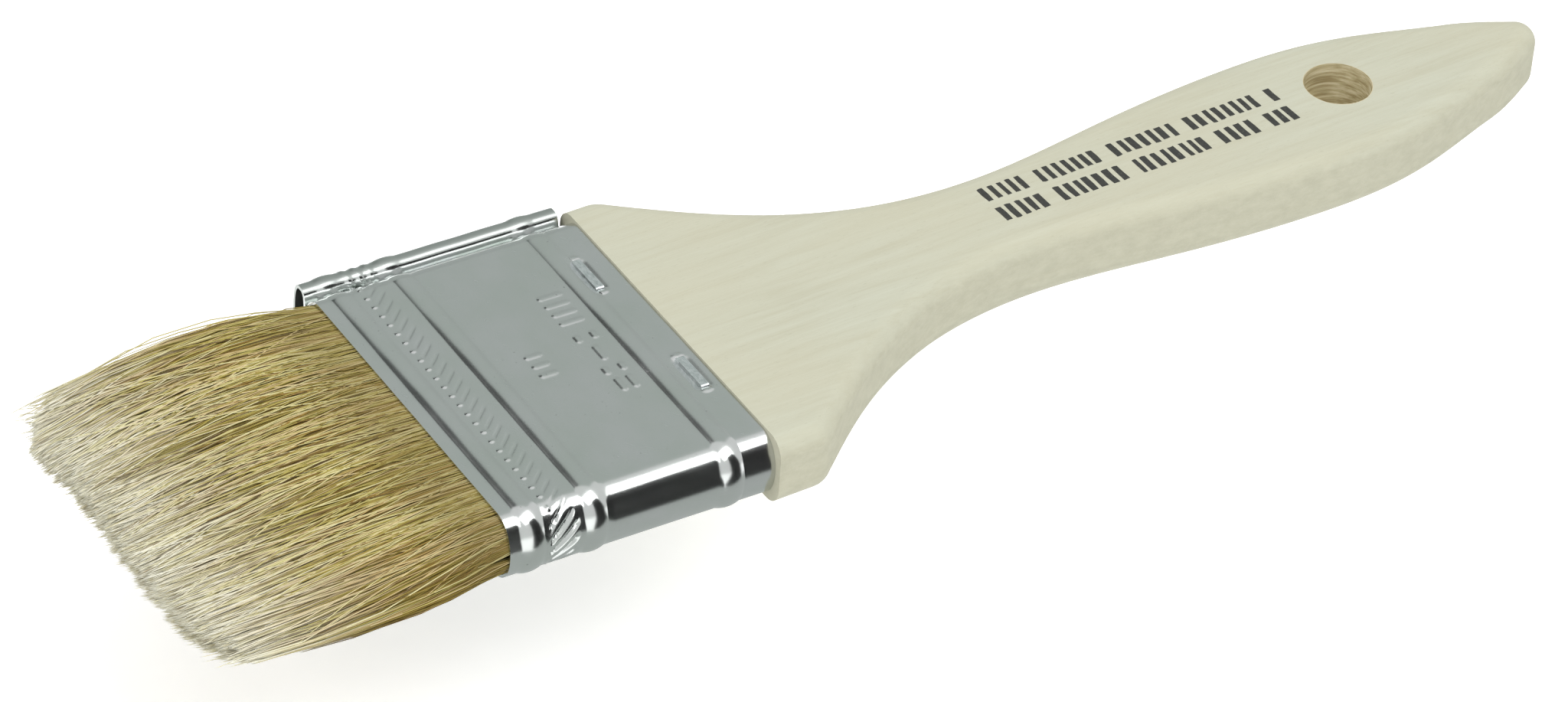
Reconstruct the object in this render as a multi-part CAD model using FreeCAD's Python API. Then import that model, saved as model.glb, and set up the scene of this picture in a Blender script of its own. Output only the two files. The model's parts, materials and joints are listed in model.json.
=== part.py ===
"""Flat bristle paint brush: wooden handle, beaded tinplate ferrule, staples and two rows of bristle.

Millimetres. The brush lies on its back face: +X across the width, +Y along the handle, +Z up.
The origin is under the middle of the whole brush, on the plane that it lies on.
"""
import FreeCAD, Part
import math
import os

Vector = FreeCAD.Vector

# Driving dimensions
OVERALL = 208.7              # bristle tips to handle tip
BRISTLE_OUT = 41.0           # free length of the bristle, outside the ferrule
FERRULE_WIDTH = 50.8         # outside, a two-inch brush
FERRULE_THICK = 9.0          # outside, between the flat faces
FERRULE_LENGTH = 35.8
SHEET = 0.35                 # tinplate
CORNER_R = 3.3               # where a flat face turns into a narrow side
SIDE_BULGE = 0.28            # how far a narrow side stands out at its middle
BEAD_WIDTH = 3.0
BEAD_HEIGHT = 0.3
BEAD_STARTS = (1.8, 10.2, 28.6)     # from the mouth
FIT = 0.05                   # gap between pieces that are glued or pressed together
NEAR = 0.01                  # tolerance for telling which edges lie where

# Places along the brush
MOUTH = -OVERALL / 2 + BRISTLE_OUT
FERRULE_END = MOUTH + FERRULE_LENGTH
MID = FERRULE_THICK / 2 + BEAD_HEIGHT        # height of the brush's middle plane

# Lock seam on the narrow side at -X: a flattened roll of sheet
SEAM_PROUD = 2.9
SEAM_HEIGHT = 8.2
SEAM_SHORT = 0.8             # the roll stops this far before the handle end
SEAM_WALL = 0.5
SEAM_ROOT = 0.2              # how far the roll sinks into the band, to be one piece with it

# Handle
HANDLE_THICK = FERRULE_THICK + 2 * BEAD_HEIGHT
HANDLE_YAW = 2.5             # degrees that the board is set askew in the ferrule, tip towards -X
HANDLE_EDGE_R = 2.6
HANDLE_OVERLAP = 3.0         # stock left on the board's heel, to be trimmed square to the ferrule
TANG_START = MOUTH + 22.0
TANG_OVERLAP = 1.0
HOLE_R = 4.4
HOLE_FROM_FERRULE = 101.15
HOLE_ASIDE = 0.8             # drilled this far off the board's middle line, towards -X
TIP_R = 2.65
TIP_SLOPE = 0.55             # tangent of the taper into the tip
SHOULDER_WIDTH = 52.7
SHOULDER_FLANK = 4.4         # straight part of the shoulder, from the ferrule
SHOULDER_R = 3.5
SWEEP_ANGLE = math.radians(39)
# Neck, belly and taper, as (distance from the ferrule, half width)
SWEEP = ((18.2, 16.85), (32.2, 10.25), (48.2, 7.95), (70.2, 10.15), (90.2, 11.8), (108.2, 10.35),
         (120.2, 6.75))

# Staples: flat wire, crown across the brush, legs driven into the tang
CROWN = 6.4
WIRE_WIDTH = 1.1
WIRE_THICK = 0.5
WIRE_BEND_R = 0.4            # outside bend where the crown turns into a leg
LEG = 4.0
STAPLES = {"left": (-12.9, 31.9), "right": (9.2, 33.6)}      # across, and from the mouth

# Bristle
HINGE_OUT = 1.6              # the bending line lies this far outside the mouth
FLEX_GAP = 0.2               # free bristle to rooted bristle and to the ferrule
ROOT_START = MOUTH + 1.1
ROOT_END = MOUTH + 17.0
PLUG_START = MOUTH + 5.0
PLUG_THICK = 2.2
PLUG_WIDTH = 45.0
HINGE_Y = MOUTH - HINGE_OUT
TUFT_ROUNDNESS = 0.9         # corner radius of the free bristle's section, as a share of its half thickness
# Free bristle past the bending line, as (distance from the mouth, half width, half thickness)
TUFT = ((12.0, 26.6, 4.1), (25.0, 27.9, 3.4), (34.0, 27.9, 2.7), (38.5, 26.2, 2.3),
        (BRISTLE_OUT, 22.0, 2.0))


def band_arcs():
    """Corner and side arcs of the ferrule's outline in one quarter: centres, radii and the angle at
    which they meet. The side arc is tangent to both corner arcs."""
    half_w = FERRULE_WIDTH / 2
    corner_z = FERRULE_THICK / 2 - CORNER_R
    reach = (corner_z ** 2 + SIDE_BULGE ** 2) / (2 * SIDE_BULGE)
    side_r = reach + CORNER_R
    side_x = half_w - side_r
    corner_x = side_x + reach - SIDE_BULGE
    turn = math.asin(corner_z / reach)
    return corner_x, corner_z, side_x, side_r, turn


def band_edges(y, inset):
    """Edges of the ferrule's outline across the brush at y, moved inwards by inset, in order."""
    corner_x, corner_z, side_x, side_r, turn = band_arcs()
    corner = CORNER_R - inset
    side = side_r - inset

    def at(x, z):
        return Vector(x, y, MID + z)

    def corner_point(sx, sz, angle):
        return at(sx * (corner_x + corner * math.cos(angle)), sz * (corner_z + corner * math.sin(angle)))

    quarter = math.pi / 2
    half_turn = (quarter + turn) / 2
    edges = []
    for sx in (1, -1):
        low, high = (-sx, sx)
        edges.append(Part.Arc(corner_point(sx, low, quarter), corner_point(sx, low, half_turn),
                              corner_point(sx, low, turn)).toShape())
        edges.append(Part.Arc(corner_point(sx, low, turn), at(sx * (side_x + side), 0),
                              corner_point(sx, high, turn)).toShape())
        edges.append(Part.Arc(corner_point(sx, high, turn), corner_point(sx, high, half_turn),
                              corner_point(sx, high, quarter)).toShape())
        edges.append(Part.makeLine(corner_point(sx, high, quarter), corner_point(-sx, high, quarter)))
    return edges


def prism(y0, y1, inset):
    """Solid with the ferrule's outline moved inwards by inset, from y0 to y1."""
    return Part.Face(Part.Wire(band_edges(y0, inset))).extrude(Vector(0, y1 - y0, 0))


def box(x0, x1, y0, y1, z0, z1):
    return Part.makeBox(x1 - x0, y1 - y0, z1 - z0, Vector(x0, y0, z0))


def wall_profile():
    """The sheet's own section along the brush, on the middle of the top face: a strip with three
    outward beads."""
    outside = MID + FERRULE_THICK / 2
    inside = outside - SHEET

    def strip_side(z):
        edges = []
        y = MOUTH
        for start in BEAD_STARTS:
            y0 = MOUTH + start
            edges.append(Part.makeLine(Vector(0, y, z), Vector(0, y0, z)))
            edges.append(Part.Arc(Vector(0, y0, z), Vector(0, y0 + BEAD_WIDTH / 2, z + BEAD_HEIGHT),
                                  Vector(0, y0 + BEAD_WIDTH, z)).toShape())
            y = y0 + BEAD_WIDTH
        edges.append(Part.makeLine(Vector(0, y, z), Vector(0, FERRULE_END, z)))
        return edges

    ends = [Part.makeLine(Vector(0, y, inside), Vector(0, y, outside)) for y in (MOUTH, FERRULE_END)]
    return Part.Wire(Part.__sortEdges__(strip_side(outside) + strip_side(inside) + ends))


def lock_seam():
    """The folded seam on the narrow side at -X: a flattened roll, open at both ends."""
    x_out = -FERRULE_WIDTH / 2 - SEAM_PROUD
    x_in = -FERRULE_WIDTH / 2 + SEAM_ROOT

    def oblong(inset, y0, y1):
        radius = (x_in - x_out) / 2 - inset
        x_mid = (x_in + x_out) / 2
        z_end = SEAM_HEIGHT / 2 - inset - radius
        high = [Vector(x_mid + radius * math.cos(a), y0, MID + z_end + radius * math.sin(a))
                for a in (0, math.pi / 2, math.pi)]
        low = [Vector(x_mid + radius * math.cos(a), y0, MID - z_end - radius * math.sin(a))
               for a in (math.pi, math.pi / 2, 0)]
        edges = [Part.Arc(*high).toShape(), Part.makeLine(high[2], low[0]),
                 Part.Arc(*low).toShape(), Part.makeLine(low[2], high[0])]
        return Part.Face(Part.Wire(edges)).extrude(Vector(0, y1 - y0, 0))

    roll = oblong(0, MOUTH, FERRULE_END - SEAM_SHORT)
    return roll.cut(oblong(SEAM_WALL, MOUTH, FERRULE_END))


def staple(side, face):
    """One staple on the named side of the front or back face: a flat crown with two legs."""
    x, along = STAPLES[side]
    y = MOUTH + along
    crown_top = FERRULE_THICK / 2 + BEAD_HEIGHT
    crown_base = crown_top - WIRE_THICK
    half = CROWN / 2
    shape = box(x - half, x + half, y - WIRE_WIDTH / 2, y + WIRE_WIDTH / 2,
                MID + crown_base, MID + crown_top)
    for x0 in (x - half, x + half - WIRE_THICK):
        leg = box(x0, x0 + WIRE_THICK, y - WIRE_WIDTH / 2, y + WIRE_WIDTH / 2,
                  MID + crown_top - LEG, MID + crown_base)
        shape = shape.fuse(leg)
    shape = shape.removeSplitter()
    ends = [edge for edge in shape.Edges
            if edge.BoundBox.ZMin > MID + crown_top - NEAR and edge.BoundBox.XLength < NEAR]
    shape = shape.makeFillet(WIRE_BEND_R, ends)
    if face == "back":
        # The back's staples are the front's, turned over about the brush's long axis
        shape = shape.rotate(Vector(0, 0, MID), Vector(0, 1, 0), 180)
    return shape


def ferrule(staples):
    """Bent tinplate band with beads and lock seam, pierced by the staples."""
    spine = Part.Wire(band_edges(MOUTH, 0.0))
    profile = wall_profile()
    band = spine.makePipeShell([profile], True, False)
    band = band.fuse(lock_seam()).removeSplitter()
    for wire in staples:
        band = band.cut(wire)
    return band


def handle_outline():
    """Closed outline of the board from above, before it is set askew. The origin is the middle of
    the ferrule's handle end."""
    half = SHOULDER_WIDTH / 2
    arc_x = half - SHOULDER_R
    reach = (OVERALL / 2 - TIP_R - FERRULE_END) / math.cos(math.radians(HANDLE_YAW))
    taper = math.atan(TIP_SLOPE)

    def shoulder(angle):
        return Vector(arc_x + SHOULDER_R * math.cos(angle), SHOULDER_FLANK + SHOULDER_R * math.sin(angle), 0)

    def tip(angle):
        return Vector(TIP_R * math.cos(angle), reach + TIP_R * math.sin(angle), 0)

    points = [shoulder(SWEEP_ANGLE)]
    points += [Vector(half_w, along, 0) for along, half_w in SWEEP]
    points.append(tip(taper))
    sweep = Part.BSplineCurve()
    sweep.interpolate(Points=points,
                      InitialTangent=Vector(-math.sin(SWEEP_ANGLE), math.cos(SWEEP_ANGLE), 0),
                      FinalTangent=Vector(-math.sin(taper), math.cos(taper), 0))
    right = [Part.makeLine(Vector(half, -HANDLE_OVERLAP, 0), shoulder(0)),
             Part.Arc(shoulder(0), shoulder(SWEEP_ANGLE / 2), shoulder(SWEEP_ANGLE)).toShape(),
             sweep.toShape()]
    left = [edge.mirror(Vector(0, 0, 0), Vector(1, 0, 0)) for edge in right]
    nose = Part.Arc(tip(taper), tip(math.pi / 2), tip(math.pi - taper)).toShape()
    heel = Part.makeLine(Vector(-half, -HANDLE_OVERLAP, 0), Vector(half, -HANDLE_OVERLAP, 0))
    return Part.Wire(Part.__sortEdges__(right + [nose] + left + [heel]))


def handle(staples):
    """Flat wooden board with rounded edges, a hang hole and a tang inside the ferrule."""
    board = Part.Face(handle_outline()).extrude(Vector(0, 0, HANDLE_THICK))
    rims = [edge for edge in board.Edges
            if edge.BoundBox.ZLength < NEAR and edge.BoundBox.YMax > NEAR - HANDLE_OVERLAP]
    board = board.makeFillet(HANDLE_EDGE_R, rims)
    bore = Part.makeCylinder(HOLE_R, 3 * HANDLE_THICK, Vector(-HOLE_ASIDE, HOLE_FROM_FERRULE, -HANDLE_THICK))
    board = board.cut(bore)
    board = board.rotate(Vector(0, 0, 0), Vector(0, 0, 1), HANDLE_YAW)
    board.translate(Vector(0, FERRULE_END, 0))
    heel = box(-OVERALL, OVERALL, -OVERALL, FERRULE_END, -OVERALL, OVERALL)
    tang = prism(TANG_START, FERRULE_END + TANG_OVERLAP, SHEET + FIT)
    wood = board.cut(heel).fuse(tang).removeSplitter()
    for wire in staples:
        wood = wood.cut(wire)
    return wood


def spacer_plug():
    """Thin strip between the two rows of bristle, from near the mouth into the resin."""
    return box(-PLUG_WIDTH / 2, PLUG_WIDTH / 2, PLUG_START, TANG_START - FIT,
               MID - PLUG_THICK / 2, MID + PLUG_THICK / 2)


def resin_setting(plug):
    """Block of glue that holds the butt ends of the bristle, round the plug."""
    return prism(ROOT_END + FIT, TANG_START - FIT, SHEET + FIT).cut(plug)


def half_space(row):
    """The half of space that holds the front (upper) or back (lower) row of bristle."""
    reach = OVERALL
    if row == "front":
        return box(-reach, reach, -reach, reach, MID, MID + reach)
    return box(-reach, reach, -reach, reach, MID - reach, MID)


def bristle_root_form(grow):
    """Half-round root of the free bristle about the bending line: the band's inside outline, turned
    half a turn about that line."""
    inset = SHEET + FLEX_GAP - grow
    upper = Part.Face(Part.Wire(band_edges(HINGE_Y, inset)))
    reach = OVERALL
    upper = upper.common(box(-reach, reach, HINGE_Y - 1, HINGE_Y + 1, MID, MID + reach))
    return upper.revolve(Vector(0, HINGE_Y, MID), Vector(1, 0, 0), -180)


def tuft_section(along, half_w, half_t):
    """Rounded oblong across the free bristle."""
    radius = half_t * TUFT_ROUNDNESS
    y = MOUTH - along
    quarter = math.pi / 2
    corners = [Vector(sx * (half_w - radius), y, MID + sz * (half_t - radius))
               for sx, sz in ((1, 1), (-1, 1), (-1, -1), (1, -1))]
    edges = []
    for index, centre in enumerate(corners):
        start = index * quarter
        arc = [centre + Vector(radius * math.cos(a), 0, radius * math.sin(a))
               for a in (start, start + quarter / 2, start + quarter)]
        edges.append(Part.Arc(*arc).toShape())
        following = corners[(index + 1) % 4]
        turned = start + quarter
        edges.append(Part.makeLine(arc[2], following + Vector(radius * math.cos(turned), 0,
                                                              radius * math.sin(turned))))
    return Part.Wire(edges)


def free_bristle():
    """All of the bristle outside the ferrule, with its half-round root."""
    half_w = FERRULE_WIDTH / 2 - SHEET - FLEX_GAP
    half_t = FERRULE_THICK / 2 - SHEET - FLEX_GAP
    sections = [tuft_section(HINGE_OUT, half_w, half_t)]
    sections += [tuft_section(*row) for row in TUFT]
    body = Part.makeLoft(sections, True, False)
    return body.fuse(bristle_root_form(0.0)).removeSplitter()


def rooted_bristle(plug):
    """The bristle inside the ferrule, hollowed at the mouth for the free bristle's root."""
    block = prism(ROOT_START, ROOT_END, SHEET + FIT)
    return block.cut(bristle_root_form(FLEX_GAP)).cut(plug)


def build():
    """All the pieces by name."""
    parts = {}
    for face in ("front", "back"):
        for side in STAPLES:
            parts["staple_%s_%s" % (face, side)] = staple(side, face)
    staples = list(parts.values())
    parts["ferrule"] = ferrule(staples)
    parts["handle"] = handle(staples)
    parts["spacer_plug"] = spacer_plug()
    parts["resin_setting"] = resin_setting(parts["spacer_plug"])
    free = free_bristle()
    rooted = rooted_bristle(parts["spacer_plug"])
    for row in ("front", "back"):
        parts["bristles_" + row] = free.common(half_space(row))
        parts["bristle_roots_" + row] = rooted.common(half_space(row))
    return parts


def main():
    os.makedirs("parts", exist_ok=True)
    for name, shape in build().items():
        print("%-22s valid %s solids %d volume %8.1f mm3  box %s" % (
            name, shape.isValid(), len(shape.Solids), shape.Volume, shape.BoundBox))
        shape.exportStep("parts/%s.step" % name)


main()
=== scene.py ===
"""Looks of a two-inch flat bristle brush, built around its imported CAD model.

Lengths are in millimetres until a mesh is made. +X is across the brush, +Y runs towards the handle's tip
and +Z comes out of the front face. The ferrule's lock seam is at -X.
"""
import json
import math
from types import SimpleNamespace

import bpy
import numpy as np
from mathutils import Matrix, Vector


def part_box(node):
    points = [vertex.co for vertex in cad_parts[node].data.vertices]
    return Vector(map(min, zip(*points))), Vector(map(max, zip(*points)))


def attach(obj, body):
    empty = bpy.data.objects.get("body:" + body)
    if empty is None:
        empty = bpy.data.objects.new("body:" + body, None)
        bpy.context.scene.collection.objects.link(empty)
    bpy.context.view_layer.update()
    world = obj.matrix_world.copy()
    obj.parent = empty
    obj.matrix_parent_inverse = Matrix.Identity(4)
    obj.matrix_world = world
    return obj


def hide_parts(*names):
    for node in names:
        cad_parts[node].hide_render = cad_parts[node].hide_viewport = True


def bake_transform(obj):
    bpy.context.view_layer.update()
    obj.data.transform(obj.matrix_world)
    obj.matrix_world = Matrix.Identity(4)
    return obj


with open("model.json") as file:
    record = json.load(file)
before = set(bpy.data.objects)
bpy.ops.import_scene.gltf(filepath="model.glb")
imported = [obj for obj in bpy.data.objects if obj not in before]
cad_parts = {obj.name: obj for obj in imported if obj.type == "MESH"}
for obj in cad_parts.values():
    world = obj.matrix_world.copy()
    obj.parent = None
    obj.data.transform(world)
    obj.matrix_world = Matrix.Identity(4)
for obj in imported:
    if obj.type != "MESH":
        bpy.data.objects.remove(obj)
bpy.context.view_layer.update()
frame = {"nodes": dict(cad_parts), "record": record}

MM = 0.001


def box_mm(node):
    low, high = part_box(node)
    return np.array(low) / MM, np.array(high) / MM


FERRULE_LOW, FERRULE_HIGH = box_mm("ferrule")
HANDLE_LOW, HANDLE_HIGH = box_mm("handle")

# Ferrule: one strip of tinplate bent into a flat tube. Distances along it are from the mouth.
MOUTH = FERRULE_LOW[1]                       # where the bristles leave it
FERRULE_LENGTH = FERRULE_HIGH[1] - MOUTH
BEAD_HEIGHT = 0.3
HALF_WIDTH = FERRULE_HIGH[0] - BEAD_HEIGHT
HALF_THICK = (FERRULE_HIGH[2] - FERRULE_LOW[2]) / 2 - BEAD_HEIGHT
MID = (FERRULE_HIGH[2] + FERRULE_LOW[2]) / 2
SHEET = 0.35
CORNER_R = 3.3
SIDE_R = 6.01                                # the narrow sides bulge slightly
ARC_STEPS = 60
BEAD_WIDTH = 3.0
BEADS = (1.8, 10.2, 28.6)
BEAD_FADE = 0.42                             # how much lower the front's beads are next to the seam
BEAD_FADE_X = (-24.0, 6.0)
FACE_NORMAL = 0.9                            # a flat face's normal is at least this much up or down
CREASE_DEGREES = 32.0                        # sharper bends of the mesh than this stay crisp

# Knurled band between the first two beads: dots, each with a slanting groove behind it
KNURL_PITCH = 1.93
KNURL_DOT_Y = 5.9
KNURL_DOT_HEIGHT = 0.17
KNURL_DOT_R = 0.48
KNURL_STROKE = (6.35, 8.75)
KNURL_LEAN = 0.95                            # tangent of the grooves' slant
KNURL_LEAN_COS = 0.72                        # cosine of that slant
KNURL_DEPTH = 0.065                          # of the grooves on the flat faces
KNURL_SIDE_DEPTH = 0.32                      # extra on the narrow sides
KNURL_GROOVE_R = 0.30
KNURL_RIDGE = 0.03

# Raised pips and bars in place of the size mark, each with a faint dip round it
PIP_HEIGHT = 0.13
PIP_R = 0.72
PIP_DIP = 0.02
PIP_DIP_R = 0.85
PIP_DIP_WIDTH = 0.25
MARK_Y = 25.7
SMALL_MARK_Y = 18.2
MARK_COLUMNS = (-12.6, 9.6)                  # where the mesh is fine for them across

# Dents in the sheet round each staple
STAPLE_DIP = 0.20
STAPLE_PINCH = 0.24
STAPLE_MARGIN = 1.5
STAPLE_NODES = ("staple_front_left", "staple_front_right", "staple_back_left", "staple_back_right")

# Lock seam
SEAM_DEPTH = 1.55                            # half of the roll's depth
SEAM_HALF_HEIGHT = 4.1
SEAM_SHORT = 0.8
SEAM_WALL = 0.42
SEAM_SWELL = 0.16                            # where a bead crosses it
SEAM_KNURL = (5.0, 10.2)                     # the knurl's stretch of it
SEAM_DENT = 0.07
SEAM_POWERS = (0.72, 0.62)                   # they square off the roll's section across and upwards

# Mesh spacing of the ferrule, coarsest on plain flat sheet
FINE = 0.14
BEND_STEP = 0.16
KNURL_COLUMN = 0.15
KNURL_ROW = 0.145
COARSE = 1.2
CLOSEST_COLUMNS = 0.03
BEAD_ROWS = 17
SEAM_SIDES = 44
SEAM_ROW = 0.3
SEAM_INNER_ROW = 8.0
OUTSIDE, INSIDE, SEAM_OUTSIDE, SEAM_INSIDE = range(4)       # patches of the ferrule's UV layer

# Handle
HANDLE_YAW = 2.5                             # degrees that the board is askew in the ferrule
INK_ROWS = ((-2.95, 2.7, (84.0, 128.6)), (1.35, 2.9, (83.8, 128.2)))     # x, stroke length, start and end
INK_GAP = 0.62
INK_GROUP_GAP = 1.5
INK_PROUD = 0.012
INK_DEPTH = 0.05

# Tuft, measured outwards from the mouth: distance, half width, half thickness
TUFT_OUT = (-20.0, 0.0, 5.0, 12.0, 20.0, 27.0, 34.0, 38.5, 42.0)
TUFT_HALF_WIDTH = (24.8, 24.8, 25.7, 26.6, 27.1, 27.1, 26.5, 25.4, 24.0)
TUFT_HALF_THICK = (4.0, 4.1, 4.4, 4.3, 3.8, 3.1, 2.2, 1.4, 0.8)
TIP_ACROSS = (-28.0, -25.0, -20.0, -12.0, -4.0, 4.0, 12.0, 20.0, 25.0, 28.0)
TIP_REACH = (31.2, 36.6, 39.6, 38.2, 38.3, 38.5, 38.7, 38.7, 37.1, 33.8)     # of a typical strand there
STRANDS_PER_PIECE = 4200
STRAND_SIDES = 3
STRAND_RINGS = (-17.0, -2.0, 3.0, 8.0, 14.0, 22.0, 31.0, 40.2, 41.0)         # of a full-length strand
STRAND_R = (0.052, 0.088)
TONES = 128                                  # how many different strand colours there are
TIP_SAG = 0.9                                # how far the tuft's end hangs below the middle plane
LOCKS = 80                                   # bundles that the strands of one piece gather in
CROSSING_SHARE = 0.14
WANDERING_SHARE = 0.036
DARK_SHARE = 0.06
SHORT_SHARE = 0.08
STRAY_OUT = 0.7                              # the furthest that a stray strand leaves the tuft sideways

# Camera and studio, in metres
CAMERA_PLACE = Vector((0.57323, -0.39207, 0.53006))
CAMERA_AIM = Vector((0.005655, -0.014544, 0.0048))
CAMERA_ROLL = math.radians(4.397)
CAMERA_LENS = 164.0
CAMERA_SENSOR = 36.0
FLOOR_DROP = 28.0                            # millimetres that the brush is shown above the ground
FLOOR_LEVEL = (HANDLE_LOW[2] - FLOOR_DROP) * MM
FLOOR_REACH = 6.0
WORLD_STRENGTH = 0.86
WHITE = (1.0, 1.0, 1.0)
COOL_WHITE = (0.93, 1.0, 0.96)               # the faint green of the tin's surroundings
BLACK_CARD = 0.02                            # strength of the dark reflections


# ---------------------------------------------------------------- helpers

def link_new(name, data):
    obj = bpy.data.objects.new(name, data)
    bpy.context.scene.collection.objects.link(obj)
    return obj


def new_object(name, points_mm, faces, smooth=True):
    """A mesh object from points in millimetres and lists of point indices."""
    mesh = bpy.data.meshes.new(name)
    mesh.from_pydata((np.asarray(points_mm) * MM).tolist(), [], faces)
    mesh.validate()
    mesh.update()
    mesh.polygons.foreach_set("use_smooth", [smooth] * len(mesh.polygons))
    return link_new(name, mesh)


def smoothstep(low, high, value):
    t = np.clip((value - low) / (high - low), 0.0, 1.0)
    return t * t * (3 - 2 * t)


def strip(ring_a, ring_b, at_a, at_b):
    """Faces between two closed rings of point indices, whose places round the loop are at_a and at_b:
    quads where the rings match, and otherwise triangles that advance along whichever ring is behind."""
    count_a, count_b = len(ring_a), len(ring_b)
    if count_a == count_b:
        return [(ring_a[i - 1], ring_a[i], ring_b[i], ring_b[i - 1]) for i in range(count_a)]
    wrap, finished = 1e6, 1e9

    def next_place(at, index, count):
        if index >= count:
            return finished
        return at[index + 1] if index + 1 < count else at[0] + wrap

    faces, i, j = [], 0, 0
    while i < count_a or j < count_b:
        a, b = ring_a[i % count_a], ring_b[j % count_b]
        if next_place(at_a, i, count_a) <= next_place(at_b, j, count_b):
            i += 1
            faces.append((a, ring_a[i % count_a], b))
        else:
            j += 1
            faces.append((a, ring_b[j % count_b], b))
    return faces


# ---------------------------------------------------------------- materials

class Nodes:
    """Short names for building one node tree."""

    def __init__(self, name):
        self.material = bpy.data.materials.new(name)
        self.material.use_nodes = True
        self.tree = self.material.node_tree
        self.tree.nodes.clear()
        self.shader = self.add("ShaderNodeBsdfPrincipled")
        output = self.add("ShaderNodeOutputMaterial")
        self.link(self.shader.outputs["BSDF"], output.inputs["Surface"])

    def add(self, kind, **settings):
        node = self.tree.nodes.new(kind)
        for key, value in settings.items():
            setattr(node, key, value)
        return node

    def link(self, source, target):
        self.tree.links.new(source, target)

    def feed(self, value, socket):
        """Link a socket, or set a constant: a number or a colour."""
        if hasattr(value, "is_linked"):
            self.link(value, socket)
        elif hasattr(value, "__len__") and len(value) == 3:
            socket.default_value = (*value, 1.0)
        else:
            socket.default_value = value

    def place(self, scale, shift=(0.0, 0.0, 0.0), turn=0.0):
        """Object coordinates in millimetres, turned about Z and then scaled."""
        coordinates = self.add("ShaderNodeTexCoord")
        turned = self.add("ShaderNodeMapping")
        turned.inputs["Rotation"].default_value = (0.0, 0.0, turn)
        turned.inputs["Scale"].default_value = (1 / MM, 1 / MM, 1 / MM)
        scaled = self.add("ShaderNodeMapping")
        scaled.inputs["Location"].default_value = shift
        scaled.inputs["Scale"].default_value = scale
        self.link(coordinates.outputs["Object"], turned.inputs["Vector"])
        self.link(turned.outputs["Vector"], scaled.inputs["Vector"])
        return scaled.outputs["Vector"]

    def split(self, vector):
        parts = self.add("ShaderNodeSeparateXYZ")
        self.link(vector, parts.inputs["Vector"])
        return parts.outputs

    def position(self):
        """Object coordinates in metres, one output per axis."""
        return self.split(self.add("ShaderNodeTexCoord").outputs["Object"])

    def facing(self, axis):
        """How far the surface faces along an axis, from 0 to 1, in the object's own frame."""
        return self.math("ABSOLUTE", self.split(self.add("ShaderNodeTexCoord").outputs["Normal"])[axis])

    def noise(self, vector, detail=4.0, roughness=0.55, distortion=0.0):
        node = self.add("ShaderNodeTexNoise")
        node.inputs["Scale"].default_value = 1.0
        node.inputs["Detail"].default_value = detail
        node.inputs["Roughness"].default_value = roughness
        node.inputs["Distortion"].default_value = distortion
        self.link(vector, node.inputs["Vector"])
        return node.outputs["Fac"]

    def ramp(self, value, *stops):
        """Colours or greys along 0 to 1, given as pairs of place and value."""
        node = self.add("ShaderNodeValToRGB")
        elements = node.color_ramp.elements
        while len(elements) < len(stops):
            elements.new(0.5)
        for element, (at, colour) in zip(elements, stops):
            element.position = at
            element.color = (*colour, 1.0) if hasattr(colour, "__len__") else (colour, colour, colour, 1.0)
        self.link(value, node.inputs["Fac"])
        return node.outputs["Color"]

    def mix(self, share, first, second, blend="MIX"):
        node = self.add("ShaderNodeMix", data_type="RGBA", blend_type=blend)
        for name, value in (("Factor", share), ("A", first), ("B", second)):
            self.feed(value, next(s for s in node.inputs if s.name == name and s.enabled))
        return next(s for s in node.outputs if s.enabled)

    def math(self, operation, first, second=0.0):
        node = self.add("ShaderNodeMath", operation=operation)
        self.feed(first, node.inputs[0])
        self.feed(second, node.inputs[1])
        return node.outputs[0]

    def scatter(self, value, factor):
        """A spread-out number from 0 to 1 for each whole value."""
        return self.math("FRACT", self.math("MULTIPLY", value, factor))

    def bump(self, height, distance_mm, strength, under=None):
        node = self.add("ShaderNodeBump")
        node.inputs["Strength"].default_value = strength
        node.inputs["Distance"].default_value = distance_mm * MM
        self.link(height, node.inputs["Height"])
        if under is not None:
            self.link(under, node.inputs["Normal"])
        return node.outputs["Normal"]

    def set(self, **values):
        """Shader inputs by name, with _ for a space."""
        for key, value in values.items():
            self.feed(value, self.shader.inputs[key.replace("_", " ")])


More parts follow.
